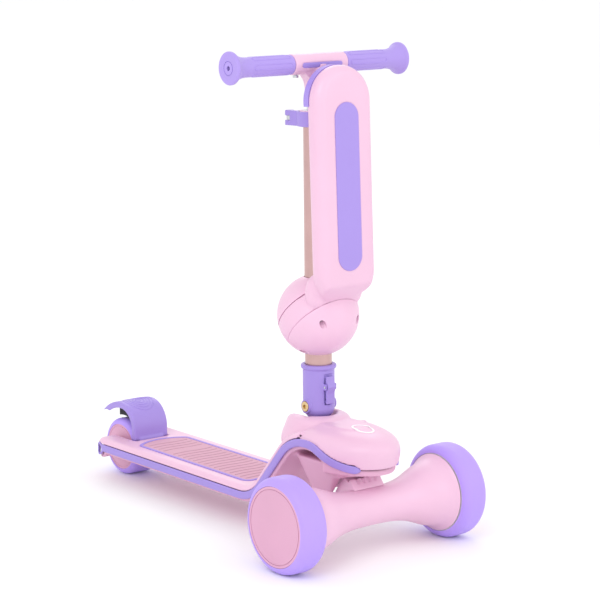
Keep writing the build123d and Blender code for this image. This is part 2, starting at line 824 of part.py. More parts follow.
def rear_fender():
    body = side_prism(fender_outline(), fender_half_width) & side_prism(fender_band(fender_skirt), 60)
    skin = side_prism(fender_band(fender_skin), fender_half_width + 5)
    hollow = side_prism(fender_outline(), fender_half_width - fender_wall)
    shell = body - (hollow - skin)
    side = fender_half_width - 8
    reach = slot_front_x - 1.2
    toe = block(reach - 4, reach, -side, side, brake_pin_z - 4, fender_low_z + 4)
    toe = toe + block(reach - 2, brake_pin_x, -side, side, brake_pin_z - 4, brake_pin_z + 4)
    barrel = rod_y(brake_pin_x, brake_pin_z, brake_barrel_radius, -fender_half_width + 8, fender_half_width - 8)
    notch = rod_y(brake_pin_x, brake_pin_z, 7.2, -4.5, 4.5)
    return shell + toe + barrel - notch - rod_y(brake_pin_x, brake_pin_z, brake_pin_radius + running_gap, -60, 60)


def brake_pad():
    """The block under the fender that is pressed on to the tyre."""
    skin = side_prism(fender_band(fender_skin), 60)
    body = block(-524, -500, -16, 16, 80, 120) & side_prism(fender_outline(), 60)
    wheel = at_rear_axle(rod_y(0, 0, rear_wheel_radius + 4.5, -30, 30))
    return body - skin - wheel


def brake_pin():
    end = fender_half_width - 2
    return rod_y(brake_pin_x, brake_pin_z, brake_pin_radius, -end, end)


def brake_spring():
    return coil_y(brake_pin_x, brake_pin_z, brake_pin_radius + 1.2, 0.7, -3.1, 6)


# ---- stem ----------------------------------------------------------------
def collar():
    body = rod_z(0, 0, collar_radius, collar_bottom, collar_height)
    body = fillet(body.edges().group_by(Axis.Z)[0], 3)
    lip = rod_z(0, 0, lip_radius, collar_height - lip_height, collar_height)
    lip = fillet(lip.edges().filter_by(GeomType.CIRCLE), 2.4)
    heel = block(0, 60, -60, 60, -60, 0) + block(-60, 1, -60, 60, -60, ear_top)
    heel = heel - Sphere(collar_radius + free_gap)
    body = body - heel
    bosses = rod_y(0, 0, boss_radius, -boss_reach, boss_reach)
    ears_pair = [
        block(latch_flat_x, latch_pin_x + 2.4, y - 1.2, y + 1.2, latch_pin_z - 4, latch_pin_z + 4)
        for y in (-latch_width / 2 - 1.8, latch_width / 2 + 1.8)
    ]
    body = body + lip + bosses + ears_pair
    flat = block(latch_flat_x, 40, -latch_width / 2 - 0.5, latch_width / 2 + 0.5, latch_low - 1.5, latch_high + 3)
    mouth = block(-30, post_thickness / 2 + 2, -post_width / 2 - 0.6, post_width / 2 + 0.6,
                  collar_bottom - 2, tube_bottom - 0.5)
    window = block(0, 40, -4.6, 4.6, latch_low - 1.5, latch_low + 6.5)
    bore = rod_z(0, 0, outer_tube_radius + running_gap, tube_bottom, collar_height + 5)
    pin = rod_y(latch_pin_x, latch_pin_z, latch_pin_radius, -20, 20)
    head = rod_y(0, 0, bolt_head_radius + 0.2, -boss_reach - 1, -boss_reach + bolt_head_height)
    nut = rod_y(0, 0, nut_radius + 0.3, boss_reach - bolt_head_height, boss_reach + 1)
    bolt = rod_y(0, 0, bolt_radius + running_gap, -40, 40)
    return stem_place * (body - flat - mouth - window - bore - pin - head - nut - bolt)


def fold_bolt():
    end = boss_reach - bolt_head_height
    shaft = rod_y(0, 0, bolt_radius, -end - 1, end + 3.5)
    head = rod_y(0, 0, bolt_head_radius, -boss_reach - 0.8, -end - 0.05)
    head = fillet(head.edges().group_by(Axis.Y)[0], 0.8)
    socket = hex_bar_y(0, 0, 3.0, -boss_reach - 1, -boss_reach + 2.2)
    return stem_place * (shaft + head - socket)


def fold_nut():
    end = boss_reach - bolt_head_height
    nut = hex_bar_y(0, 0, nut_radius - 0.3, end + 0.05, end + 4) - rod_y(0, 0, bolt_radius + running_gap, 0, 40)
    return stem_place * nut


def latch_pin():
    end = latch_width / 2 + 3
    return stem_place * rod_y(latch_pin_x, latch_pin_z, latch_pin_radius - 0.02, -end, end)


def latch_spring():
    return stem_place * coil_y(latch_pin_x, latch_pin_z, latch_pin_radius + 0.8, 0.5, -1.8, 5)


def latch_lever():
    face = latch_back_x + latch_thickness
    outline = closed_face([
        (latch_back_x, latch_low), (face, latch_low), (face + 0.6, latch_pin_z - 9), (latch_crest, latch_pin_z),
        (face + 0.4, latch_pin_z + 8), (face - 0.4, latch_high), (latch_back_x, latch_high)
    ])
    plate = side_prism(outline, latch_width / 2)
    hub = rod_y(latch_pin_x, latch_pin_z, latch_pin_radius + 1.7, -latch_width / 2, latch_width / 2)
    tooth = block(latch_tip_x, latch_back_x + 1, -4, 4, latch_low, latch_low + 4.5)
    coil_room = rod_y(latch_pin_x, latch_pin_z, 3.3, -2.8, 2.8)
    hole = rod_y(latch_pin_x, latch_pin_z, latch_pin_radius + 0.04, -20, 20)
    return stem_place * (plate + hub + tooth - coil_room - hole)


def outer_tube():
    tube = rod_z(0, 0, outer_tube_radius, tube_bottom + 0.1, outer_tube_top)
    tube = tube - rod_z(0, 0, outer_tube_radius - outer_tube_wall, 0, outer_tube_top + 5)
    slit = block(-30, 0, -lug_half_gap, lug_half_gap, outer_tube_top - 32, outer_tube_top + 5)
    return stem_place * (tube - slit)


def tube_bush():
    """The plastic sleeve at the mouth of the outer tube, in which the inner tube slides."""
    sleeve = rod_z(0, 0, outer_tube_radius - outer_tube_wall - running_gap,
                   outer_tube_top - bush_length, outer_tube_top)
    flange = rod_z(0, 0, outer_tube_radius + 1, outer_tube_top + 0.05, outer_tube_top + bush_flange)
    flange = flange + rod_z(0, 0, inner_tube_radius + 2, outer_tube_top - 1, outer_tube_top + bush_flange)
    return stem_place * (sleeve + flange - rod_z(0, 0, inner_tube_radius + running_gap, 0, 500))


def clamp_collar():
    low = clamp_z - clamp_height / 2
    high = clamp_z + clamp_height / 2
    ring = rod_z(0, 0, clamp_radius, low, high)
    ring = fillet(ring.edges().filter_by(GeomType.CIRCLE), 1.5)
    lug = block(cam_x - 5, -15, -lug_half_gap - lug_width, lug_half_gap + lug_width,
                clamp_z - lug_height / 2, clamp_z + lug_height / 2)
    ring = ring + lug - rod_z(0, 0, outer_tube_radius + seat_gap, low - 5, outer_tube_top)
    ring = ring - rod_z(0, 0, outer_tube_radius + 1.2, outer_tube_top - 0.1, high + 5)
    slit = block(-60, 0, -lug_half_gap, lug_half_gap, low - 5, high + 5)
    return stem_place * (ring - slit - rod_y(cam_x, clamp_z, clamp_bolt_radius + seat_gap, -60, 60))


def clamp_bolt():
    end = lug_half_gap + lug_width
    shaft = rod_y(cam_x, clamp_z, clamp_bolt_radius, cam_y, end + 1)
    eye = rod_z(cam_x, cam_y, 4.2, clamp_z - 2.6, clamp_z + 2.6)
    nut = rod_y(cam_x, clamp_z, 5, end + 0.1, end + 5)
    return stem_place * (shaft + eye + nut - rod_z(cam_x, cam_y, cam_pin_radius + seat_gap, 0, 500))


def cam_pin():
    half = lever_height / 2 - 0.5
    return stem_place * rod_z(cam_x, cam_y, cam_pin_radius, clamp_z - half, clamp_z + half)


def clamp_lever():
    """The curved lever: a forked cam at the back and a handle that wraps round the tube."""
    low = clamp_z - lever_height / 2
    high = clamp_z + lever_height / 2
    cam = rod_z(cam_x, cam_y, cam_radius, low, high)
    inner = lever_inner_radius
    outer = inner + lever_thickness
    ring = rod_z(0, 0, outer, low, high) - rod_z(0, 0, inner, low - 1, high + 1)
    first = atan2(cam_y, cam_x)
    last = radians(lever_end_angle)
    middle = (first + last) / 2
    sector = closed_face([(0, 0)] + [(70 * cos(a), 70 * sin(a)) for a in (first, middle, last)])
    handle = ring & (Pos(0, 0, low - 1) * extrude(sector, lever_height + 2))
    neck = closed_face([(cam_x + 2, cam_y - cam_radius + 0.3), (cam_x - 1, cam_y - cam_radius + 0.1),
                        (outer * cos(first + 0.5), outer * sin(first + 0.5)),
                        (inner * cos(first + 0.5), inner * sin(first + 0.5)),
                        (inner * cos(first + 0.2), inner * sin(first + 0.2)), (cam_x + 5, cam_y + 1)])
    neck = Pos(0, 0, low) * extrude(neck, lever_height)
    fork = block(cam_x - 12, cam_x + 5.5, cam_y - 5.5, cam_y + 12, clamp_z - 3.2, clamp_z + 3.2)
    clear = rod_z(cam_x, cam_y, 5.0, clamp_z - 3.2, clamp_z + 3.2)
    hole = rod_z(cam_x, cam_y, cam_pin_radius + running_gap, low - 1, high + 1)
    return stem_place * (cam + handle + neck - fork - clear - hole)


# ---- handlebar -----------------------------------------------------------
def inner_tube():
    tube = rod_z(0, 0, inner_tube_radius, inner_tube_bottom, bar_z - bar_tube_radius - 0.5)
    return stem_place * (tube - rod_z(0, 0, inner_tube_radius - inner_tube_wall, 0, 600))


def tube_guide():
    """The slider on the lower end of the inner tube."""
    low = inner_tube_bottom + 2
    ring = rod_z(0, 0, outer_tube_radius - outer_tube_wall - running_gap, low, low + guide_length)
    return stem_place * (ring - rod_z(0, 0, inner_tube_radius + seat_gap, 0, 600))


def bar_bracket():
    sleeve = rod_y(0, bar_z, sleeve_radius, -sleeve_half_length, sleeve_half_length)
    neck = rod_z(0, 0, neck_radius, neck_bottom_z, bar_z)
    reach = neck_radius - 2 + neck_web
    foot = bar_z - sleeve_radius + 3
    web = make_face(
        Polyline((-reach, foot), (reach, foot)).edges()
        + RadiusArc((reach, foot), (neck_radius - 2, foot - neck_web), -neck_web).edges()
        + Polyline((neck_radius - 2, foot - neck_web), (2 - neck_radius, foot - neck_web)).edges()
        + RadiusArc((2 - neck_radius, foot - neck_web), (-reach, foot), -neck_web).edges()
    )
    web = extrude(Plane.YZ * web, 9, both=True)
    body = sleeve + neck + web
    body = body - rod_y(0, bar_z, bar_tube_radius + seat_gap, -60, 60)
    body = body - rod_z(0, 0, inner_tube_radius + seat_gap, 0, bar_z - bar_tube_radius)
    body = body - inlay_shape(seat_gap, 0)
    return stem_place * (body - rod_z(0, -33, 2.2, bar_z - 20, bar_z - bar_tube_radius))


def inlay_shape(grow, proud):
    slot = extrude(Plane.YZ * (Pos(0, bar_z - 1) * SlotOverall(inlay_length + 2 * grow, inlay_width + 2 * grow)), 40)
    ring = rod_y(0, bar_z, sleeve_radius + proud + (0.5 if grow else 0), -60, 60)
    return slot & (ring - rod_y(0, bar_z, sleeve_radius - inlay_depth, -70, 70))


def bracket_inlay():
    return stem_place * (inlay_shape(0, 0.3) - rod_y(0, bar_z, sleeve_radius - inlay_depth + seat_gap, -70, 70))


def handlebar_tube():
    tube = rod_y(0, bar_z, bar_tube_radius, -bar_half_length + 5, bar_half_length - 5)
    return stem_place * (tube - rod_y(0, bar_z, bar_tube_radius - 1.5, -200, 200))


def bracket_screw():
    high = bar_z - bar_tube_radius - 0.1
    return stem_place * (rod_z(0, -33, 2, high - 4, high) + rod_z(0, -33, 3.6, high - 6, high - 3.3))


def grip(side):
    """A soft grip with a trumpet end and a small hole in its disc."""
    y0 = sleeve_half_length + 0.1
    y1 = bar_half_length
    bore = bar_tube_radius + seat_gap
    skin = Spline((grip_radius, y1 - flare_length - 12), (grip_radius + 1.6, y1 - flare_length),
                  (flare_radius - 1, y1 - 5), (flare_radius, y1 - 3), tangents=((0, 1), (0, 1)))
    rest = Polyline((flare_radius, y1 - 3), (flare_radius, y1 - 1.2), (flare_radius - 1.2, y1), (grip_hole_radius, y1),
                    (grip_hole_radius, y1 - 4.8), (bore, y1 - 4.8), (bore, y0), (grip_radius - 0.6, y0),
                    (grip_radius, y0 + 0.6), (grip_radius, y1 - flare_length - 12))
    shape = revolve(make_face(skin.edges() + rest.edges()), Axis.Y)
    groove = rod_y(0, 0, 9, y1 - 0.7, y1 + 1) - rod_y(0, 0, 8, y1 - 1, y1 + 2)
    shape = shape - groove
    shape = shape if side > 0 else mirror(shape, Plane.XZ)
    return stem_place * Pos(0, 0, bar_z) * shape


# ---- ball ----------------------------------------------------------------
def ball_slice(radius, low, high):
    """The part of a ball between two flats square to the swivel axis, in the swivel's own frame."""
    return Sphere(radius) & block(-80, 80, -80, 80, low, high)


def in_stem(shape):
    """From the swivel's frame to the stem's."""
    return ball_place * shape


def stem_hole(radius):
    return rod_z(0, 0, radius, ball_z - 100, ball_z + 100)


def screw_spots():
    p = ball_screw_pitch / sqrt(2)
    return [(x, y) for x in (-p, p) for y in (-p, p)]


def ball_lower_shell():
    high = band_low - free_gap
    shell = ball_slice(ball_radius, -80, high) - ball_slice(ball_radius - ball_wall, -80, high - ball_wall)
    posts = [rod_z(x, y, 5.6, -60, high) & Sphere(ball_radius) for x, y in screw_spots()]
    wells = [rod_z(x, y, 4.1, -60, high - 9) for x, y in screw_spots()]
    holes = [rod_z(x, y, 1.7, -60, high + 1) for x, y in screw_spots()]
    shell = in_stem(Part() + [shell] + posts - wells - holes)
    return stem_place * (shell - stem_hole(outer_tube_radius + 0.3))


def ball_upper_cap():
    low = band_high + free_gap
    shell = ball_slice(ball_radius, low, 80) - ball_slice(ball_radius - ball_wall, low + ball_wall, 80)
    return stem_place * (in_stem(shell) - stem_hole(outer_tube_radius + 0.9))


def swivel_hub():
    """The disc that is fixed on the tube and carries the seat's ring."""
    hub = rod_z(0, 0, hub_radius, band_low - free_gap + 0.05, band_high + free_gap - 0.05)
    holes = [rod_z(x, y, 1.6, band_low - 1, 0) for x, y in screw_spots()]
    return stem_place * (in_stem(hub - (Part() + holes)) - stem_hole(outer_tube_radius + running_gap))


def ball_screws():
    high = band_low - free_gap - 9.05
    screws = [
        rod_z(x, y, ball_screw_head, high - 2.6, high) + rod_z(x, y, 1.5, high - 1, -2)
        - Pos(x, y, high - 2.7) * extrude(RegularPolygon(1.6, 6), 1.4)
        for x, y in screw_spots()
    ]
    return stem_place * in_stem(Part() + screws)


# ---- seat ----------------------------------------------------------------
seat_plane_place = Pos(seat_mid_x, 0, seat_mid_z) * Rot(0, -seat_lean, 0)


def seat_slab(length, half_width, x0, x1, z_shift=0.0):
    """A board with round ends in the seat's own frame: x is across its thickness."""
    face = Plane.YZ * (Pos(0, z_shift) * Rot(0, 0, 90) * SlotOverall(length, 2 * half_width))
    return Pos(x0, 0, 0) * extrude(face, x1 - x0)


def crescent(grow=0.0):
    """The trim round the seat's upper end, fading out down both sides."""
    half = seat_thickness / 2
    centre = seat_length / 2 - seat_half_width
    outer = Plane.YZ * (Pos(0, centre) * Circle(seat_half_width + 0.4 + grow))
    inner = Plane.YZ * (Pos(0, centre - crescent_drop) * Circle(seat_half_width + 0.4 - crescent_width - grow))
    shape = extrude(outer, crescent_depth + grow) - Pos(-1, 0, 0) * extrude(inner, crescent_depth + 20)
    shape = shape & block(-50, 50, -60, 60, centre - crescent_fall, centre + 60)
    return Pos(-half - 0.4, 0, 0) * shape


def seat_shell():
    half = seat_thickness / 2
    slab = seat_slab(seat_length, seat_half_width, -half, half)
    slab = fillet(slab.edges(), seat_edge_round)
    slab = slab - seat_slab(panel_length, panel_half_width, half - panel_depth, half + 5, 0)
    slab = slab - seat_slab(cushion_length, cushion_half_width, -half - 5, -half + cushion_recess, 6)
    slab = seat_plane_place * (slab - crescent(0.1))
    ring = in_stem(ball_slice(ball_radius, band_low, band_high))
    fixed_low = in_stem(block(-90, 200, -90, 90, -200, band_low))
    fixed_high = in_stem(ball_slice(ball_radius + free_gap, band_high, 80))
    bore = in_stem(rod_z(0, 0, band_bore, band_low - 1, band_high + 1))
    body = slab + ring - fixed_low - fixed_high - bore
    return stem_place * body


def seat_panel():
    half = seat_thickness / 2
    slab = seat_slab(panel_length - 0.4, panel_half_width - 0.2, half - panel_depth + 0.05, half + 0.2, 0)
    return stem_place * (seat_plane_place * slab)


def seat_cushion():
    half = seat_thickness / 2
    slab = seat_slab(cushion_length - 0.8, cushion_half_width - 0.4, -half - cushion_proud,
                     -half + cushion_recess - 0.1, 6)
    slab = fillet(slab.edges().group_by(Axis.X)[0], 3)
    ball = in_stem(Sphere(ball_radius + 2.5))
    return stem_place * (seat_plane_place * (slab - crescent(0.5)) - ball)


def seat_crescent():
    return stem_place * (seat_plane_place * crescent())


def grouped(*shapes):
    """Separate solids that share one node."""
    return Compound(children=[solid for shape in shapes for solid in shape.solids()])


def all_parts():
    pieces = {
        "deck_top_shell": deck_top_shell(),
        "deck_bottom_shell": deck_bottom_shell(),
        "deck_trim_right": deck_trim(-1),
        "deck_trim_left": deck_trim(1),
        "grip_pad": grip_pad(),
        "grip_pad_rim": grip_pad_rim(),
        "deck_frame": deck_frame(),
        "fold_post": fold_post(),
        "rear_axle_bolt": rear_axle_bolt(),
        "rear_axle_hardware": grouped(rear_axle_nut(), rear_axle_spacers()),
        "kingpin": grouped(kingpin(), kingpin_nut()),
        "steer_washer": steer_washer(),
        "shell_screws": shell_screws(),
        "nose_badge": nose_badge(),
        "brake_pin": brake_pin(),
        "brake_spring": brake_spring(),
        "axle_housing": axle_housing(),
        "steering_block": steering_block(),
        "front_axle": front_axle(),
        "front_axle_hardware": grouped(wheel_spacers(), wheel_nuts()),
        "rear_tyre": rear_tyre(),
        "rear_hub": rear_hub(),
        "rear_wheel_discs": rear_discs(),
        "rear_bearings": rear_bearings(),
        "rear_fender": rear_fender(),
        "brake_pad": brake_pad(),
        "collar": collar(),
        "fold_bolt": grouped(fold_bolt(), fold_nut()),
        "stem_pins": grouped(latch_pin(), cam_pin()),
        "latch_spring": latch_spring(),
        "latch_lever": latch_lever(),
        "outer_tube": outer_tube(),
        "tube_bush": tube_bush(),
        "clamp_collar": clamp_collar(),
        "clamp_bolt": clamp_bolt(),
        "clamp_lever": clamp_lever(),
        "inner_tube": inner_tube(),
        "tube_guide": tube_guide(),
        "bar_bracket": bar_bracket(),
        "bracket_inlay": bracket_inlay(),
        "handlebar_tube": handlebar_tube(),
        "bracket_screw": bracket_screw(),
        "ball_lower_shell": ball_lower_shell(),
        "ball_upper_cap": ball_upper_cap(),
        "swivel_hub": swivel_hub(),
        "ball_screws": ball_screws(),
        "seat_shell": seat_shell(),
        "seat_panel": seat_panel(),
        "seat_cushion": seat_cushion(),
        "seat_crescent": seat_crescent(),
    }
    for name, side in (("left", 1), ("right", -1)):
        pieces[f"grip_{name}"] = grip(side)
        pieces[f"tyre_{name}"] = front_tyre(side)
        pieces[f"hub_{name}"] = front_hub(side)
        pieces[f"wheel_cap_{name}"] = front_cap(side)
        pieces[f"bearings_{name}"] = front_bearings(side)
    return pieces


def write_all(pieces):
    """Centre the whole scooter on the origin and write one file for each piece."""
    boxes = [shape.bounding_box() for shape in pieces.values()]
    middle = (min(b.min.X for b in boxes) + max(b.max.X for b in boxes)) / 2
    print("moved along X by", round(-middle, 4))
    for name, shape in pieces.items():
        export_step(Pos(-middle, 0, 0) * shape, f"parts/{name}.step")


write_all(all_parts())
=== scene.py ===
# %% [markdown]
# # A child's kick scooter with a swing-up seat
# The engineering model is already finished: every tube, wheel and joint has its place.
# This lesson gives that model its looks. We soften the moulded covers, puff up a cushion,
# add the ribs a foot can feel, and mix a finish for each material.

# %% Start from the engineering frame
import json
import math
import bmesh
import bpy
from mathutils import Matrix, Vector

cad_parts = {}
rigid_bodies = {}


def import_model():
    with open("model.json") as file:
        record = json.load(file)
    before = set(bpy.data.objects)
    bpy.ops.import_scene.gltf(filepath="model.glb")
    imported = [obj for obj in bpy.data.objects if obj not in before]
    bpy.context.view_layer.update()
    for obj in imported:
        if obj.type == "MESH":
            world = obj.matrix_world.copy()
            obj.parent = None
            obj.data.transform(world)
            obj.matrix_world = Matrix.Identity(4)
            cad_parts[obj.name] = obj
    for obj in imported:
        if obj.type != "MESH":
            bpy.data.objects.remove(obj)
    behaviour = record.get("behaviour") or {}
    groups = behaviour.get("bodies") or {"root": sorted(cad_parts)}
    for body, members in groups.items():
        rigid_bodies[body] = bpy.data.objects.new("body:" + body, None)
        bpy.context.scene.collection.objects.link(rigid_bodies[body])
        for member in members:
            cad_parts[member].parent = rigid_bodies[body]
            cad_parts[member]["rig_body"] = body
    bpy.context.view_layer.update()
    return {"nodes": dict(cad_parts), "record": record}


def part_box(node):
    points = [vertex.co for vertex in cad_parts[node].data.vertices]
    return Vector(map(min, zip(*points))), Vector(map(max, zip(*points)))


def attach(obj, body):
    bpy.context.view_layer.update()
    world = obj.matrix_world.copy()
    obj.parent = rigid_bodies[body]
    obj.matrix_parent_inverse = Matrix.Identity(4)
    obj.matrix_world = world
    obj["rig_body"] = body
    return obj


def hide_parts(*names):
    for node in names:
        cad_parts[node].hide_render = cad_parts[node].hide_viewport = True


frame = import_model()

NODES = frame["nodes"]
SLOT_OF = {part["node"]: part["material_slot"] for part in frame["record"]["subparts"]}
print("pieces in the frame:", len(NODES))

# %% [markdown]
# ## The camera
# A product picture is taken from far away with a long lens, so that straight tubes stay
# straight. The camera is set by the direction it looks from, its distance and its lens.

# %% Camera
VIEW_SIDE = math.radians(38.8)
VIEW_UP = math.radians(10.4)
VIEW_DISTANCE = 2.8516
VIEW_LENS = 134.6
AIM_BEHIND_AXLE = 0.1365
AIM_HEIGHT = 0.3017

axle_low, axle_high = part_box("front_axle")
aim = Vector(((axle_low.x + axle_high.x) / 2 - AIM_BEHIND_AXLE, 0, AIM_HEIGHT))
direction = Vector((
    math.cos(VIEW_UP) * math.cos(VIEW_SIDE),
    -math.cos(VIEW_UP) * math.sin(VIEW_SIDE),
    math.sin(VIEW_UP),
))
camera = bpy.data.objects.new("camera", bpy.data.cameras.new("camera"))
camera.data.lens = VIEW_LENS
camera.location = aim + direction * VIEW_DISTANCE
camera.rotation_euler = (-direction).to_track_quat("-Z", "Y").to_euler()
bpy.context.scene.collection.objects.link(camera)
bpy.context.scene.camera = camera
print("camera at", tuple(round(v, 3) for v in camera.location))

# %% [markdown]
# ## Floor and light
# Pastel plastic looks clean under broad, soft lights. A pale floor runs far back, the room
# itself is bright, and three large panels give the long highlights that show a curve.

# %% Floor and lights
def make_panel(name, place, size, power):
    """A large soft light that looks at the scooter."""
    data = bpy.data.lights.new(name, "AREA")
    data.shape = "SQUARE"
    data.size = size
    data.energy = power
    lamp = bpy.data.objects.new(name, data)
    lamp.location = place
    lamp.rotation_euler = (Vector((0, 0, 0.25)) - lamp.location).to_track_quat("-Z", "Y").to_euler()
    bpy.context.scene.collection.objects.link(lamp)


def make_floor(size):
    """A wide flat floor that belongs to the stage and not to the scooter."""
    mesh = bpy.data.meshes.new("floor")
    corners = [(-size, -size, 0), (size, -size, 0), (size, size, 0), (-size, size, 0)]
    mesh.from_pydata(corners, [], [(0, 1, 2, 3)])
    floor = bpy.data.objects.new("floor", mesh)
    bpy.context.scene.collection.objects.link(floor)
    return floor


FLOOR_HALF_SIZE = 30
ROOM_BRIGHTNESS = 1.04
PANELS = (
    ("key_panel", (1.6, -2.6, 2.6), 1.8, 25),
    ("fill_panel", (2.8, 1.2, 1.5), 1.8, 9),
    ("back_panel", (-2.4, 1.8, 2.2), 1.6, 10),
)

floor = make_floor(FLOOR_HALF_SIZE)
for name, place, size, power in PANELS:
    make_panel(name, place, size, power)

world = bpy.data.worlds.new("room")
world.use_nodes = True
background = world.node_tree.nodes["Background"]
background.inputs["Color"].default_value = (1, 1, 1, 1)
background.inputs["Strength"].default_value = ROOM_BRIGHTNESS
bpy.context.scene.world = world
bpy.context.scene.view_settings.view_transform = "Standard"
print("light panels:", len(PANELS))

# %% [markdown]
# ## Finishes
# Every finish is a small recipe of nodes that reads the position on the piece, so that it
# follows the piece when it moves. Moulded plastic has a slow drift in colour, a fine grain
# that breaks up its shine, and edges that catch a little more light.

# %% Helpers for finishes
def start_finish(name):
    """A new material with its shader, and the position on the piece."""
    material = bpy.data.materials.new(name)
    material.use_nodes = True
    tree = material.node_tree
    tree.nodes.clear()
    output = tree.nodes.new("ShaderNodeOutputMaterial")
    shader = tree.nodes.new("ShaderNodeBsdfPrincipled")
    place = tree.nodes.new("ShaderNodeTexCoord")
    tree.links.new(shader.outputs["BSDF"], output.inputs["Surface"])
    return material, tree, shader, place.outputs["Object"]


def add_noise(tree, place, scale, detail=3.0):
    """Cloudy noise read from the position; a larger scale makes it finer."""
    noise = tree.nodes.new("ShaderNodeTexNoise")
    noise.inputs["Scale"].default_value = scale
    noise.inputs["Detail"].default_value = detail
    tree.links.new(place, noise.inputs["Vector"])
    return noise.outputs["Fac"]


def add_range(tree, value, low, high, to_low, to_high):
    """Stretches a value from one range to another."""
    remap = tree.nodes.new("ShaderNodeMapRange")
    remap.inputs["From Min"].default_value = low
    remap.inputs["From Max"].default_value = high
    remap.inputs["To Min"].default_value = to_low
    remap.inputs["To Max"].default_value = to_high
    tree.links.new(value, remap.inputs["Value"])
    return remap.outputs["Result"]


def add_mix(tree, amount, first, second):
    """Mixes two colours, each a socket or an (r, g, b)."""
    mix = tree.nodes.new("ShaderNodeMix")
    mix.data_type = "RGBA"
    tree.links.new(amount, mix.inputs[0])
    for socket, colour in ((mix.inputs[6], first), (mix.inputs[7], second)):
        if isinstance(colour, tuple):
            socket.default_value = (*colour, 1)
        else:
            tree.links.new(colour, socket)
    return mix.outputs[2]


def add_bump(tree, shader, height, depth, strength=1.0):
    """Turns a height into a small relief of the given depth, in metres."""
    bump = tree.nodes.new("ShaderNodeBump")
    bump.inputs["Strength"].default_value = strength
    bump.inputs["Distance"].default_value = depth
    tree.links.new(height, bump.inputs["Height"])
    tree.links.new(bump.outputs["Normal"], shader.inputs["Normal"])


def tinted(colour, factor):
    """The colour made darker or lighter."""
    return tuple(min(1.0, channel * factor) for channel in colour)

# %% [markdown]
# ## Plastic and rubber
# Most of a child's scooter comes out of a mould. The mould leaves a fine grain, the pigment is
# never quite even, and a painted highlight makes the edges a little paler, so one recipe holds
# all three. Rubber is the same recipe with a rougher shine and a touch of sheen.

# %% Moulded plastic and rubber
def moulded(name, colour, rough, grain=1400, depth=0.00002, coat=0.0, sheen=0.0):
    """Plastic or rubber from a mould: drifting colour, fine grain, painted highlight on edges."""
    material, tree, shader, place = start_finish(name)
    drift = add_range(tree, add_noise(tree, place, 9), 0.3, 0.7, 0.0, 1.0)
    body = add_mix(tree, drift, tinted(colour, 0.955), tinted(colour, 1.02))
    geometry = tree.nodes.new("ShaderNodeNewGeometry")
    # painted highlight: corners and rims are lightened in the base colour by their pointiness
    painted_edge_highlight = add_range(tree, geometry.outputs["Pointiness"], 0.52, 0.62, 0.0, 0.45)
    tree.links.new(add_mix(tree, painted_edge_highlight, body, tinted(colour, 1.15)), shader.inputs["Base Color"])
    cloud = add_range(tree, add_noise(tree, place, 60), 0.3, 0.7, rough - 0.04, rough + 0.05)
    tree.links.new(cloud, shader.inputs["Roughness"])
    add_bump(tree, shader, add_noise(tree, place, grain, 2.0), depth, 0.35)
    shader.inputs["Coat Weight"].default_value = coat
    shader.inputs["Coat Roughness"].default_value = 0.25
    shader.inputs["Sheen Weight"].default_value = sheen
    return material

# %% [markdown]
# ## Metal
# Tubes are drawn through a die, which leaves fine lines along them. We squeeze the noise along
# the length of the tube, so it turns into lines that stretch the highlight.

# %% Metals
def drawn_metal(name, colour, rough, along=(1, 1, 0.02), depth=0.000008):
    """Metal with fine lines along its length, and a soft cloudiness in its shine."""
    material, tree, shader, place = start_finish(name)
    mapping = tree.nodes.new("ShaderNodeMapping")
    mapping.inputs["Scale"].default_value = along
    tree.links.new(place, mapping.inputs["Vector"])
    lines = add_noise(tree, mapping.outputs["Vector"], 900, 2.0)
    cloud = add_noise(tree, place, 30)
    drift = add_range(tree, cloud, 0.3, 0.7, 0, 1)
    base = add_mix(tree, drift, tinted(colour, 0.93), tinted(colour, 1.05))
    tree.links.new(base, shader.inputs["Base Color"])
    shine = add_range(tree, lines, 0.3, 0.7, rough - 0.05, rough + 0.06)
    tree.links.new(shine, shader.inputs["Roughness"])
    shader.inputs["Metallic"].default_value = 1.0
    add_bump(tree, shader, lines, depth, 0.3)
    return material

# %% [markdown]
# ## The seat's cover
# Faux leather has small pebbles with creases between them. A cell pattern gives the distance to
# the nearest crease, and that one value drives a painted shade in the creases, the shine and the
# relief.

# %% Soft faux leather
def faux_leather(name, colour):
    """Small pebbles with painted shade in the creases between them, over a slow change of colour.
    """
    material, tree, shader, place = start_finish(name)
    cells = tree.nodes.new("ShaderNodeTexVoronoi")
    cells.feature = "DISTANCE_TO_EDGE"
    cells.inputs["Scale"].default_value = 620
    tree.links.new(place, cells.inputs["Vector"])
    crease = add_range(tree, cells.outputs["Distance"], 0.0, 0.18, 0.0, 1.0)
    slow = add_range(tree, add_noise(tree, place, 14), 0.3, 0.7, 0, 1)
    body = add_mix(tree, slow, tinted(colour, 0.9), tinted(colour, 1.06))
    # painted shade: the creases are darkened in the base colour
    tree.links.new(add_mix(tree, crease, tinted(colour, 0.78), body), shader.inputs["Base Color"])
    tree.links.new(add_range(tree, crease, 0, 1, 0.62, 0.46), shader.inputs["Roughness"])
    add_bump(tree, shader, crease, 0.00012, 0.5)
    shader.inputs["Sheen Weight"].default_value = 0.15
    return material

# %% [markdown]
# ## One palette
# The scooter has two plastics, pink and lavender, and each comes in a few close tones. We keep
# all colours in one place, then paint every engineering piece by the slot it already has.

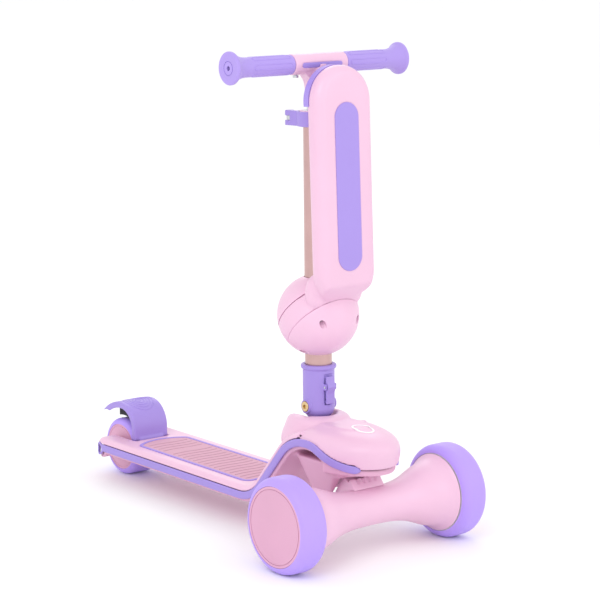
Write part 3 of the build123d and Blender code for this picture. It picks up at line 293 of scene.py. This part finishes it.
# %% The scooter's palette
PINK = (0.74, 0.41, 0.58)
PALE_PINK = (0.82, 0.52, 0.69)
DEEP_PINK = (0.68, 0.36, 0.52)
PAD_PINK = (0.62, 0.33, 0.44)
LAVENDER = (0.36, 0.26, 0.70)
TYRE_LAVENDER = (0.47, 0.32, 0.92)
SOFT_LAVENDER = (0.40, 0.29, 0.74)
ROSE_GOLD = (0.60, 0.39, 0.38)
FINISHES = {
    "pink_shell": moulded("pink_shell", PALE_PINK, 0.38, coat=0.15),
    "pink_pan": moulded("pink_pan", PINK, 0.48, grain=900, depth=0.00004),
    "lavender_plastic": moulded("lavender_plastic", LAVENDER, 0.42, coat=0.05),
    "lavender_tyre": moulded(
        "lavender_tyre", TYRE_LAVENDER, 0.5, grain=700, depth=0.00003, sheen=0.1),
    "lavender_grip": moulded(
        "lavender_grip", SOFT_LAVENDER, 0.58, grain=1100, depth=0.00004, sheen=0.15),
    "pad_rubber": moulded("pad_rubber", PAD_PINK, 0.66, grain=800, depth=0.00005, sheen=0.1),
    "pad_rim_rubber": moulded("pad_rim_rubber", LAVENDER, 0.6, grain=900, depth=0.00003),
    "wheel_plastic": moulded("wheel_plastic", (0.72, 0.68, 0.72), 0.5),
    "rose_gold_tube": drawn_metal("rose_gold_tube", ROSE_GOLD, 0.34),
    "silver_tube": drawn_metal("silver_tube", (0.72, 0.72, 0.74), 0.24),
    "frame_steel": moulded("frame_steel", (0.05, 0.05, 0.055), 0.5, grain=500, depth=0.00005),
    "zinc_steel": drawn_metal("zinc_steel", (0.62, 0.63, 0.66), 0.32, (1, 1, 1)),
    "spring_steel": drawn_metal("spring_steel", (0.42, 0.42, 0.45), 0.28, (1, 1, 1)),
    "gold_bolt": drawn_metal("gold_bolt", (0.70, 0.52, 0.28), 0.3, (1, 1, 1)),
    "brake_rubber": moulded("brake_rubber", (0.02, 0.02, 0.022), 0.7, grain=600, depth=0.00006),
    "cushion_leather": faux_leather("cushion_leather", (0.78, 0.48, 0.66)),
    "white_badge": moulded("white_badge", (0.93, 0.91, 0.93), 0.35),
}
cap_finish = moulded("wheel_cap", DEEP_PINK, 0.42, coat=0.1)
# painted shade: the ribs are the pad's own rubber, tinted darker as if shaded along the ridges
rib_painted_shade_finish = moulded("pad_rib_painted_shade", tinted(PAD_PINK, 0.82), 0.66, grain=800, depth=0.00005)


def floor_paint():
    """Matt white paint with the faintest drift in its tone."""
    material, tree, shader, place = start_finish("floor_paint")
    drift = add_range(tree, add_noise(tree, place, 0.6), 0.3, 0.7, 0.0, 1.0)
    paint = add_mix(tree, drift, (0.965, 0.965, 0.965), (0.975, 0.975, 0.975))
    tree.links.new(paint, shader.inputs["Base Color"])
    shader.inputs["Roughness"].default_value = 0.9
    shader.inputs["Specular IOR Level"].default_value = 0.1
    return material


floor.data.materials.append(floor_paint())
for name, node in NODES.items():
    for holder in node.material_slots:
        holder.material = FINISHES[SLOT_OF[name]]
for name in ("wheel_cap_left", "wheel_cap_right", "rear_wheel_discs"):
    for holder in NODES[name].material_slots:
        holder.material = cap_finish
print("finishes:", len(FINISHES))

# %% [markdown]
# ## Soft edges on the moulded covers
# The engineering shapes meet in sharp lines, but plastic from a mould never does: every
# corner has a small radius, or the tool would crack. We wrap each cover in an even skin of
# tiny squares and relax them a few times. Flat faces stay put and only the corners round.

# %% Softening a cover
def show(name, mesh, body, slot, finish=None):
    """Puts a finished mesh in the scene as a piece that rides on a body."""
    piece = bpy.data.objects.new(name, mesh)
    bpy.context.scene.collection.objects.link(piece)
    mesh.materials.clear()
    mesh.materials.append(finish or FINISHES[slot])
    mesh.shade_smooth()
    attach(piece, body)
    return piece


def settled(piece):
    """The piece's mesh with its modifiers applied."""
    graph = bpy.context.evaluated_depsgraph_get()
    return bpy.data.meshes.new_from_object(piece.evaluated_get(graph))


def joined_copy(node):
    """A copy of a node's mesh with its loose triangles joined."""
    mesh = NODES[node].data.copy()
    work = bmesh.new()
    work.from_mesh(mesh)
    bmesh.ops.remove_doubles(work, verts=work.verts, dist=0.00002)
    work.to_mesh(mesh)
    work.free()
    return mesh


def softened(name, node, cell, passes, extra=None, added=()):
    """A cover wrapped in small cells and relaxed; extra is (place, reach, passes) for one spot."""
    mesh = joined_copy(node)
    mesh.materials.clear()
    for lump in added:
        work = bmesh.new()
        work.from_mesh(mesh)
        work.from_mesh(lump)
        work.to_mesh(mesh)
        work.free()
    helper = bpy.data.objects.new(name + "_helper", mesh)
    bpy.context.scene.collection.objects.link(helper)
    wrap = helper.modifiers.new("wrap", "REMESH")
    wrap.mode = "VOXEL"
    wrap.voxel_size = cell
    relax = helper.modifiers.new("relax", "SMOOTH")
    relax.factor = 0.5
    relax.iterations = passes
    result = settled(helper)
    helper.modifiers.clear()
    helper.data = result
    if extra:
        place, reach, more = extra
        group = helper.vertex_groups.new(name="spot")
        for vertex in result.vertices:
            near = 1 - (vertex.co - Vector(place)).length / reach
            if near > 0:
                group.add([vertex.index], min(1.0, 2 * near), "REPLACE")
        local = helper.modifiers.new("local", "SMOOTH")
        local.factor = 0.5
        local.iterations = more
        local.vertex_group = "spot"
        result = settled(helper)
    bpy.data.objects.remove(helper)
    body = NODES[node]["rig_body"]
    piece = show(name, result, body, SLOT_OF[node])
    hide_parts(node)
    print(name, "faces:", len(result.polygons))
    return piece


# %% [markdown]
# ## Body covers, trims and fender
# The body is a top cover and a pan that meet behind two soft trims, with a fender over the rear
# wheel. Large shells take larger cells, and thin ones need small cells to keep their wall. The
# fender is relaxed the most, because its rim is thick and round under the heel.

# %% Body covers, trims and fender
for name, node, cell, passes in (
    ("top_cover", "deck_top_shell", 0.0016, 10),
    ("lower_pan", "deck_bottom_shell", 0.0018, 8),
    ("right_trim", "deck_trim_right", 0.0009, 12),
    ("left_trim", "deck_trim_left", 0.0009, 12),
):
    softened(name, node, cell, passes)
fender = softened("fender", "rear_fender", 0.0009, 30)

# %% [markdown]
# ## Where the seat grows out of the ball
# The seat is moulded in one piece with the ring round the ball, and a web on each side carries
# the load across. We start each web as a plain egg, cut away what would sit inside the ball,
# and let the relaxing blend it into the seat.

# %% Webs at the foot of the seat
cap_low, cap_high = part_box("ball_upper_cap")
cup_low, cup_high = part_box("ball_lower_shell")
BALL = Vector(((cap_low.x + cup_high.x) / 2, 0, (cap_high.z + cup_low.z) / 2))
BALL_RADIUS = (cup_high.x - cap_low.x) / 2
WEB_GAP = 0.0006
WEB_PLACE = Vector((0.031, 0.026, 0.036))
WEB_SIZE = Vector((0.013, 0.018, 0.024))


def egg(name, place, size):
    """A ball stretched to a size, as a helper object."""
    mesh = bpy.data.meshes.new(name)
    work = bmesh.new()
    bmesh.ops.create_icosphere(work, subdivisions=4, radius=1)
    bmesh.ops.scale(work, vec=size, verts=work.verts)
    bmesh.ops.translate(work, vec=place, verts=work.verts)
    work.to_mesh(mesh)
    work.free()
    helper = bpy.data.objects.new(name, mesh)
    bpy.context.scene.collection.objects.link(helper)
    return helper


def web(side):
    """One web, with the ball and a hair of air cut out of it."""
    place = BALL + Vector((WEB_PLACE.x, side * WEB_PLACE.y, WEB_PLACE.z))
    lump = egg("web", place, WEB_SIZE)
    room = egg("room", BALL, Vector((1, 1, 1)) * (BALL_RADIUS + WEB_GAP))
    cut = lump.modifiers.new("cut", "BOOLEAN")
    cut.operation = "DIFFERENCE"
    cut.object = room
    result = settled(lump)
    bpy.data.objects.remove(lump)
    bpy.data.objects.remove(room)
    return result


webs = [web(side) for side in (-1, 1)]
print("web faces:", [len(lump.polygons) for lump in webs])

# %% [markdown]
# ## Stem, truck and seat covers
# The seat gets its webs and a long local relaxing where it meets the ring, so that the two flow
# into each other. The small parts round the stem are touched by fingers: their corners are
# rounded only a little, so they keep the crisp look of a working part.

# %% Stem, truck and seat covers
SEAT_JOINT = BALL + Vector((0.035, 0, 0.045))
SEAT_JOINT_REACH = 0.055
SEAT_JOINT_PASSES = 60
softened(
    "seat_cover", "seat_shell", 0.0012, 8,
    extra=(SEAT_JOINT, SEAT_JOINT_REACH, SEAT_JOINT_PASSES), added=webs,
)
for name, node, cell, passes in (
    ("stem_collar", "collar", 0.0007, 5),
    ("latch_button", "latch_lever", 0.0004, 4),
    ("clamp_handle", "clamp_lever", 0.0006, 6),
    ("clamp_band", "clamp_collar", 0.0006, 4),
    ("bar_tee", "bar_bracket", 0.0008, 10),
    ("steering_brow", "steering_block", 0.0008, 4),
    ("bar_inlay", "bracket_inlay", 0.0004, 4),
):
    softened(name, node, cell, passes)

# %% [markdown]
# ## Ribs on the tread
# A child's shoe must not slip, so the tread has low ribs across it with a gentle wave. One rib
# repeated by rule is a job for Geometry Nodes: the tree takes the number of ribs, their size
# and their wave as inputs, and lays them in a row.

# %% A tree for rows of ribs
def new_tree(name, inputs):
    """An empty Geometry Nodes tree with the named inputs; gives the tree and both ends."""
    tree = bpy.data.node_groups.new(name, "GeometryNodeTree")
    tree.interface.new_socket("Geometry", in_out="INPUT", socket_type="NodeSocketGeometry")
    for label, kind in inputs:
        tree.interface.new_socket(label, in_out="INPUT", socket_type="NodeSocket" + kind)
    tree.interface.new_socket("Geometry", in_out="OUTPUT", socket_type="NodeSocketGeometry")
    start = tree.nodes.new("NodeGroupInput")
    end = tree.nodes.new("NodeGroupOutput")
    return tree, start, end


def finish_tree(tree, start, end, geometry):
    """The tree's last two steps: instances made real, then the finish."""
    real = tree.nodes.new("GeometryNodeRealizeInstances")
    paint = tree.nodes.new("GeometryNodeSetMaterial")
    tree.links.new(geometry, real.inputs["Geometry"])
    tree.links.new(real.outputs["Geometry"], paint.inputs["Geometry"])
    tree.links.new(start.outputs["Material"], paint.inputs["Material"])
    tree.links.new(paint.outputs["Geometry"], end.inputs["Geometry"])


def run_tree(name, tree, values, body, slot, finish=None):
    """Runs a tree on an empty object and gives the result as a plain piece."""
    helper = bpy.data.objects.new(name + "_helper", bpy.data.meshes.new(name))
    bpy.context.scene.collection.objects.link(helper)
    modifier = helper.modifiers.new("tree", "NODES")
    modifier.node_group = tree
    sockets = {
        item.name: item.identifier
        for item in tree.interface.items_tree if item.in_out == "INPUT"
    }
    for label, value in {**values, "Material": finish or FINISHES[slot]}.items():
        modifier[sockets[label]] = value
    mesh = settled(helper)
    bpy.data.objects.remove(helper)
    piece = show(name, mesh, body, slot, finish)
    print(name, "faces:", len(mesh.polygons))
    return piece


def math_node(tree, operation, first, second=None):
    """One step of arithmetic; each side is a socket or a number."""
    node = tree.nodes.new("ShaderNodeMath")
    node.operation = operation
    for socket, value in zip(node.inputs, (first, second)):
        if value is None:
            continue
        if isinstance(value, (int, float)):
            socket.default_value = value
        else:
            tree.links.new(value, socket)
    return node.outputs[0]


def rib_tree():
    """A row of wavy ribs that run across and are repeated along X."""
    tree, start, end = new_tree("ribs", [
        ("Count", "Int"), ("Pitch", "Float"), ("Half Length", "Float"), ("Thickness", "Float"),
        ("Wave", "Float"), ("Start", "Vector"), ("Material", "Material"),
    ])
    new, link = tree.nodes.new, tree.links.new
    step = new("ShaderNodeCombineXYZ")
    link(start.outputs["Pitch"], step.inputs["X"])
    row = new("GeometryNodeMeshLine")
    row.mode = "OFFSET"
    link(start.outputs["Count"], row.inputs["Count"])
    link(start.outputs["Start"], row.inputs["Start Location"])
    link(step.outputs["Vector"], row.inputs["Offset"])
    ends = []
    for sign in (-1, 1):
        corner = new("ShaderNodeCombineXYZ")
        link(math_node(tree, "MULTIPLY", start.outputs["Half Length"], sign), corner.inputs["Y"])
        ends.append(corner.outputs["Vector"])
    line = new("GeometryNodeCurvePrimitiveLine")
    link(ends[0], line.inputs["Start"])
    link(ends[1], line.inputs["End"])
    fine = new("GeometryNodeResampleCurve")
    fine.inputs["Count"].default_value = 49
    link(line.outputs["Curve"], fine.inputs["Curve"])
    position = new("GeometryNodeInputPosition")
    split = new("ShaderNodeSeparateXYZ")
    link(position.outputs["Position"], split.inputs["Vector"])
    turn = math_node(tree, "SINE", math_node(tree, "MULTIPLY", split.outputs["Y"], 95.0))
    shift = new("ShaderNodeCombineXYZ")
    link(math_node(tree, "MULTIPLY", turn, start.outputs["Wave"]), shift.inputs["X"])
    wave = new("GeometryNodeSetPosition")
    link(fine.outputs["Curve"], wave.inputs["Geometry"])
    link(shift.outputs["Vector"], wave.inputs["Offset"])
    profile = new("GeometryNodeCurvePrimitiveCircle")
    profile.inputs["Resolution"].default_value = 10
    link(start.outputs["Thickness"], profile.inputs["Radius"])
    tube = new("GeometryNodeCurveToMesh")
    tube.inputs["Fill Caps"].default_value = True
    link(wave.outputs["Geometry"], tube.inputs["Curve"])
    link(profile.outputs["Curve"], tube.inputs["Profile Curve"])
    copies = new("GeometryNodeInstanceOnPoints")
    link(row.outputs["Mesh"], copies.inputs["Points"])
    link(tube.outputs["Mesh"], copies.inputs["Instance"])
    finish_tree(tree, start, end, copies.outputs["Instances"])
    return tree

# %% [markdown]
# ## Two groups of ribs
# The tread has a long group of ribs in front and a short one behind, with a plain field between
# them. Each rib is sunk most of the way into the rubber, so that only a low wave stands up.

# %% Lay the ribs on the tread
RIB_THICKNESS = 0.0016
RIB_SINK = 0.0010
RIB_HALF_LENGTH = 0.032
RIB_WAVE = 0.0013
FRONT_RIBS = 15
REAR_RIBS = 4
RIB_PITCH = 0.0116
FRONT_MARGIN = 0.009
REAR_MARGIN = 0.022

pad_low, pad_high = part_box("grip_pad")
ribs = rib_tree()
for name, count, first in (
    ("front_ribs", FRONT_RIBS, pad_high.x - FRONT_MARGIN - RIB_PITCH * (FRONT_RIBS - 1)),
    ("rear_ribs", REAR_RIBS, pad_low.x + REAR_MARGIN),
):
    run_tree(name, ribs, {
        "Count": count, "Pitch": RIB_PITCH, "Half Length": RIB_HALF_LENGTH,
        "Thickness": RIB_THICKNESS, "Wave": RIB_WAVE,
        "Start": (first, 0, pad_high.z - RIB_SINK),
    }, "deck", "pad_rubber", rib_painted_shade_finish)

# %% [markdown]
# ## Rings on the fender
# The foot brake has raised rings where the heel presses. Each ring starts as a flat circle above
# the fender. A ray sent straight down from every point finds the curved skin, and the ring
# settles on it.

# %% A tree that drops rings on a surface
def ring_tree():
    """Ovals, one inside the next, laid on the surface of a target."""
    tree, start, end = new_tree("rings", [
        ("Target", "Object"), ("Count", "Int"), ("Spacing", "Float"), ("Stretch", "Float"),
        ("Thickness", "Float"), ("Centre", "Vector"), ("Material", "Material"),
    ])
    new, link = tree.nodes.new, tree.links.new
    row = new("GeometryNodeMeshLine")
    row.inputs["Offset"].default_value = (0, 0, 0)
    link(start.outputs["Count"], row.inputs["Count"])
    link(start.outputs["Centre"], row.inputs["Start Location"])
    circle = new("GeometryNodeCurvePrimitiveCircle")
    circle.inputs["Resolution"].default_value = 72
    link(start.outputs["Spacing"], circle.inputs["Radius"])
    index = new("GeometryNodeInputIndex")
    size = math_node(tree, "ADD", index.outputs["Index"], 1.0)
    scale = new("ShaderNodeCombineXYZ")
    link(size, scale.inputs["X"])
    link(math_node(tree, "MULTIPLY", size, start.outputs["Stretch"]), scale.inputs["Y"])
    copies = new("GeometryNodeInstanceOnPoints")
    link(row.outputs["Mesh"], copies.inputs["Points"])
    link(circle.outputs["Curve"], copies.inputs["Instance"])
    link(scale.outputs["Vector"], copies.inputs["Scale"])
    real = new("GeometryNodeRealizeInstances")
    link(copies.outputs["Instances"], real.inputs["Geometry"])
    target = new("GeometryNodeObjectInfo")
    link(start.outputs["Target"], target.inputs["Object"])
    ray = new("GeometryNodeRaycast")
    ray.inputs["Ray Direction"].default_value = (0, 0, -1)
    ray.inputs["Ray Length"].default_value = 0.2
    link(target.outputs["Geometry"], ray.inputs["Target Geometry"])
    drop = new("GeometryNodeSetPosition")
    link(real.outputs["Geometry"], drop.inputs["Geometry"])
    link(ray.outputs["Hit Position"], drop.inputs["Position"])
    profile = new("GeometryNodeCurvePrimitiveCircle")
    profile.inputs["Resolution"].default_value = 8
    link(start.outputs["Thickness"], profile.inputs["Radius"])
    tube = new("GeometryNodeCurveToMesh")
    link(drop.outputs["Geometry"], tube.inputs["Curve"])
    link(profile.outputs["Curve"], tube.inputs["Profile Curve"])
    finish_tree(tree, start, end, tube.outputs["Mesh"])
    return tree

# %% [markdown]
# ## Where the heel presses
# Five fine rings sit at the middle of the fender. They start well above it and ride with the
# brake, because they belong to the same moulding.

# %% Press the rings into place
RING_COUNT = 5
RING_SPACING = 0.0043
RING_WIRE = 0.0006
RING_FROM_REAR = 0.048
RING_DROP = 0.02

fender_low, fender_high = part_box("rear_fender")
run_tree("fender_rings", ring_tree(), {
    "Target": fender, "Count": RING_COUNT, "Spacing": RING_SPACING, "Stretch": 1.0,
    "Thickness": RING_WIRE,
    "Centre": (fender_low.x + RING_FROM_REAR, 0, fender_high.z + RING_DROP),
}, "rear_brake", "lavender_plastic")

# %% [markdown]
# ## Raised outlines on the grips
# Each grip has long raised loops round it, so small hands can hold on. One loop is drawn flat as
# a stadium shape, bent on to the grip by turning its width into an angle, and repeated round it.

# %% A tree for loops round a bar
def loop_tree():
    """Long loops spread round a bar that lies along Y."""
    tree, start, end = new_tree("loops", [
        ("Count", "Int"), ("Length", "Float"), ("Width", "Float"), ("Radius", "Float"),
        ("Thickness", "Float"), ("Centre", "Vector"), ("Material", "Material"),
    ])
    new, link = tree.nodes.new, tree.links.new
    shape = new("GeometryNodeCurvePrimitiveQuadrilateral")
    link(start.outputs["Width"], shape.inputs["Width"])
    link(start.outputs["Length"], shape.inputs["Height"])
    rounded = new("GeometryNodeFilletCurve")
    rounded.mode = "POLY"
    rounded.inputs["Count"].default_value = 10
    link(shape.outputs["Curve"], rounded.inputs["Curve"])
    link(math_node(tree, "MULTIPLY", start.outputs["Width"], 0.49), rounded.inputs["Radius"])
    position = new("GeometryNodeInputPosition")
    split = new("ShaderNodeSeparateXYZ")
    link(position.outputs["Position"], split.inputs["Vector"])
    angle = math_node(tree, "DIVIDE", split.outputs["X"], start.outputs["Radius"])
    bent = new("ShaderNodeCombineXYZ")
    link(split.outputs["Y"], bent.inputs["Y"])
    for wave, axis in (("COSINE", "X"), ("SINE", "Z")):
        way = math_node(tree, wave, angle)
        link(math_node(tree, "MULTIPLY", way, start.outputs["Radius"]), bent.inputs[axis])
    wrap = new("GeometryNodeSetPosition")
    link(rounded.outputs["Curve"], wrap.inputs["Geometry"])
    link(bent.outputs["Vector"], wrap.inputs["Position"])
    profile = new("GeometryNodeCurvePrimitiveCircle")
    profile.inputs["Resolution"].default_value = 8
    link(start.outputs["Thickness"], profile.inputs["Radius"])
    tube = new("GeometryNodeCurveToMesh")
    link(wrap.outputs["Geometry"], tube.inputs["Curve"])
    link(profile.outputs["Curve"], tube.inputs["Profile Curve"])
    row = new("GeometryNodeMeshLine")
    row.inputs["Offset"].default_value = (0, 0, 0)
    link(start.outputs["Count"], row.inputs["Count"])
    link(start.outputs["Centre"], row.inputs["Start Location"])
    index = new("GeometryNodeInputIndex")
    share = math_node(tree, "DIVIDE", index.outputs["Index"], start.outputs["Count"])
    turn = new("ShaderNodeCombineXYZ")
    link(math_node(tree, "MULTIPLY", share, 2 * math.pi), turn.inputs["Y"])
    copies = new("GeometryNodeInstanceOnPoints")
    link(row.outputs["Mesh"], copies.inputs["Points"])
    link(tube.outputs["Mesh"], copies.inputs["Instance"])
    link(turn.outputs["Vector"], copies.inputs["Rotation"])
    finish_tree(tree, start, end, copies.outputs["Instances"])
    return tree

# %% [markdown]
# ## Both grips
# The grips are twins, so the same tree runs twice with the sign of one coordinate changed. The
# loops stop short of the flared end, where the hand rests against the flange.

# %% Loops on both grips
LOOP_COUNT = 6
LOOP_LENGTH = 0.058
LOOP_WIDTH = 0.0062
LOOP_WIRE = 0.0006
LOOP_MARGIN = 0.005
GRIP_RADIUS = 0.0122

loops = loop_tree()
grip_low, grip_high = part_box("grip_left")
bar_x = (grip_low.x + grip_high.x) / 2
bar_z = (grip_low.z + grip_high.z) / 2
loop_y = grip_low.y + LOOP_MARGIN + LOOP_LENGTH / 2
for name, side in (("loops_left", 1), ("loops_right", -1)):
    run_tree(name, loops, {
        "Count": LOOP_COUNT, "Length": LOOP_LENGTH, "Width": LOOP_WIDTH, "Radius": GRIP_RADIUS,
        "Thickness": LOOP_WIRE, "Centre": (bar_x, side * loop_y, bar_z),
    }, "handlebar", "lavender_grip")

# %% [markdown]
# ## The seat cushion
# The cushion is foam under soft faux leather. A cushion is held at its edges and free in the
# middle, so its face crowns and its rim pulls in. Cloth with a little air pressure gives that for
# nothing: we inflate a copy for twenty frames and stop any point from moving too far.

# %% Inflate the cushion
CUSHION_CELL = 0.003
CUSHION_SWELL = 0.003
CUSHION_FRAMES = 20
CUSHION_PRESSURE = 4


def inflated(mesh, cap):
    """The mesh puffed up by cloth pressure, no point moving more than cap."""
    helper = bpy.data.objects.new("cushion_helper", mesh)
    bpy.context.scene.collection.objects.link(helper)
    wrap = helper.modifiers.new("wrap", "REMESH")
    wrap.mode = "VOXEL"
    wrap.voxel_size = CUSHION_CELL
    helper.data = settled(helper)
    helper.modifiers.clear()
    rest = [vertex.co.copy() for vertex in helper.data.vertices]
    cloth = helper.modifiers.new("cloth", "CLOTH")
    cloth.settings.use_pressure = True
    cloth.settings.uniform_pressure_force = CUSHION_PRESSURE
    cloth.settings.effector_weights.gravity = 0
    cloth.point_cache.frame_end = CUSHION_FRAMES
    for number in range(1, CUSHION_FRAMES + 1):
        bpy.context.scene.frame_set(number)
    result = settled(helper)
    bpy.context.scene.frame_set(1)
    for vertex, old in zip(result.vertices, rest):
        move = vertex.co - old
        if move.length > cap:
            vertex.co = old + move.normalized() * cap
    bpy.data.objects.remove(helper)
    return result


cushion_mesh = joined_copy("seat_cushion")
cushion_mesh.materials.clear()
cushion_mesh = inflated(cushion_mesh, CUSHION_SWELL)
cushion = show("cushion", cushion_mesh, "seat", "cushion_leather")
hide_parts("seat_cushion")
smoother = cushion.modifiers.new("smoother", "SUBSURF")
smoother.levels = 1
smoother.render_levels = 1
print("cushion points:", len(cushion_mesh.vertices))
